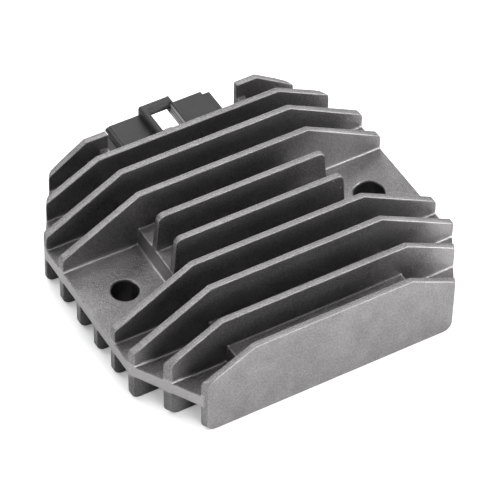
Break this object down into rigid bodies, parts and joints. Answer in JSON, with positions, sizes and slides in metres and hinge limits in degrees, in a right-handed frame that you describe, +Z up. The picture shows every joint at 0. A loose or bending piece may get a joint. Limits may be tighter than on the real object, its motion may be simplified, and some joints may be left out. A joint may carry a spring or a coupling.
{
  "type": "voltage regulator rectifier",
  "caption": "Finned cast aluminium engine charging regulator with cut corners, bolt holes at both ends, a potted underside and a shrouded plug socket.",
  "frame": {"origin": "midway between the two mounting holes, on the plane that the rim and the bosses rest on", "axes": "+X along the fins towards the larger mounting hole, +Y towards the plug socket's mouth, +Z up through the fins"},
  "size_m": [0.0952, 0.0931, 0.0292],
  "materials": {
    "cast_aluminium": "sand cast",
    "socket_plastic": "moulded satin",
    "blade_metal": "tin plated",
    "potting_resin": "poured semi-gloss",
    "board_laminate": "lacquered",
    "device_case": "moulded",
    "resistor_body": "fired",
    "capacitor_can": "sleeved",
    "zener_body": "fired",
    "thermal_pad": "matt"
  },
  "bodies": {
    "root": {"heat_sink_housing": "cast_aluminium", "connector_shell": "socket_plastic", "circuit_board": "board_laminate", "capacitor": "capacitor_can", "control_transistor": "device_case", "zener_diode": "zener_body", "insulating_pad": "thermal_pad", "potting_compound": "potting_resin", "terminal_blade_1": "blade_metal", "terminal_blade_2": "blade_metal", "terminal_blade_3": "blade_metal", "terminal_blade_4": "blade_metal", "terminal_blade_5": "blade_metal", "terminal_blade_6": "blade_metal", "thyristor_1": "device_case", "power_diode_1": "device_case", "gate_resistor_1": "resistor_body", "thyristor_2": "device_case", "power_diode_2": "device_case", "gate_resistor_2": "resistor_body", "thyristor_3": "device_case", "power_diode_3": "device_case", "gate_resistor_3": "resistor_body"}
  },
  "joints": []
}
